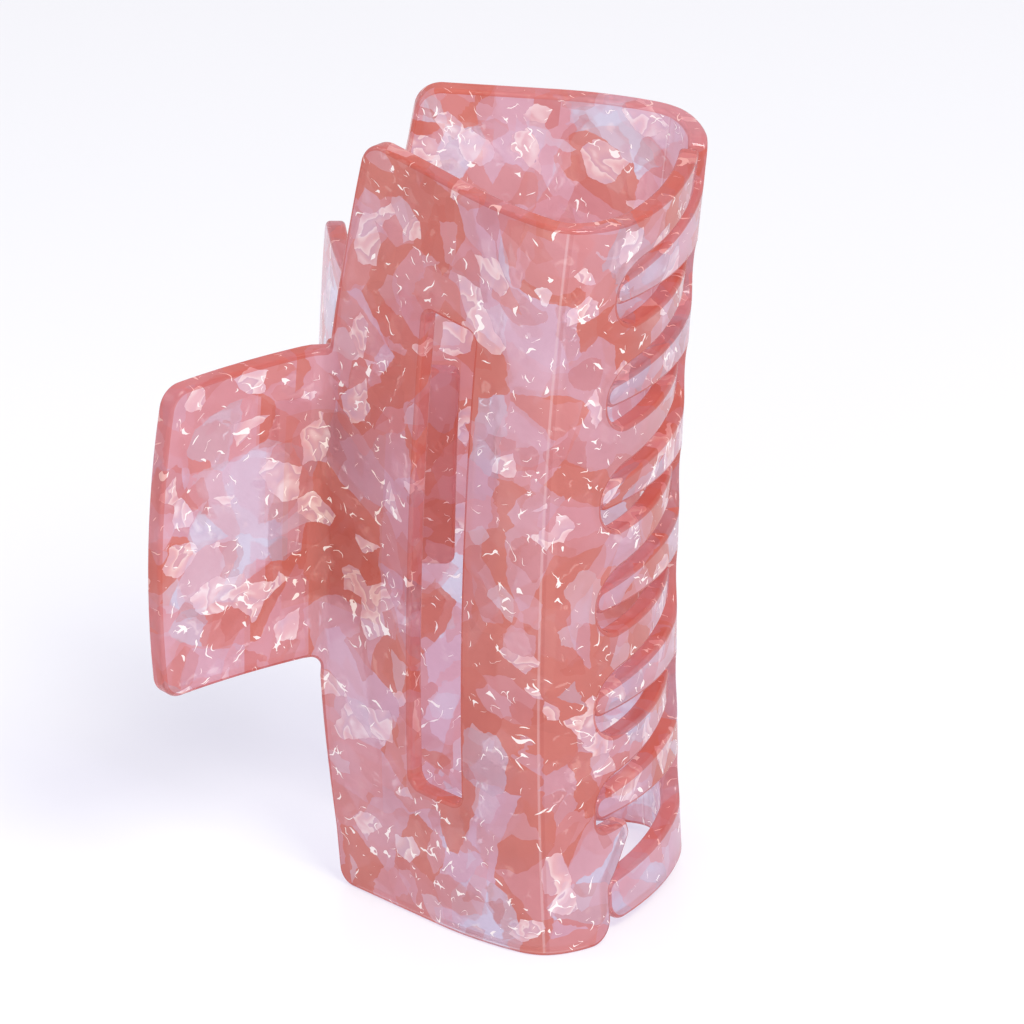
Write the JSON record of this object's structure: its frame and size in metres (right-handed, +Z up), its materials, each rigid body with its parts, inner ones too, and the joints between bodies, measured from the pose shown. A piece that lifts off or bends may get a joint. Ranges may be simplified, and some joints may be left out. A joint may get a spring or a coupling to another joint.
{
  "type": "claw hair clip",
  "caption": "Large rectangular sprung claw hair clip with interlocking teeth, windowed side panels and wide thumb handles, standing on its end.",
  "frame": {"origin": "centre of the bounding box at the level of the lower end that the clip stands on", "axes": "+Z up along the clip's length, +X from the handles to the teeth, +Y from the front jaw to the back jaw"},
  "size_m": [0.0636, 0.059, 0.1074],
  "materials": {
    "marbled_acetate": "polished, translucent, coral, pink and pearl flakes",
    "hinge_acetate": "polished, translucent coral",
    "pin_steel": "bright drawn rod",
    "spring_steel": "plated spring wire"
  },
  "bodies": {
    "front_half": {"front_jaw": "marbled_acetate", "front_hinge_block": "hinge_acetate", "hinge_pin": "pin_steel", "torsion_spring": "spring_steel"},
    "back_half": {"back_jaw": "marbled_acetate", "back_hinge_block": "hinge_acetate"}
  },
  "joints": [
    {"name": "jaw_open", "type": "hinge", "parent": "front_half", "child": "back_half", "pos_m": [-0.016, 0, 0.05402], "axis": [0.0501, 0, 0.9987], "range_deg": [0, 70], "stiffness_Nm_per_rad": 0.1, "springref_deg": -68.75, "deforming": ["torsion_spring"]}
  ]
}
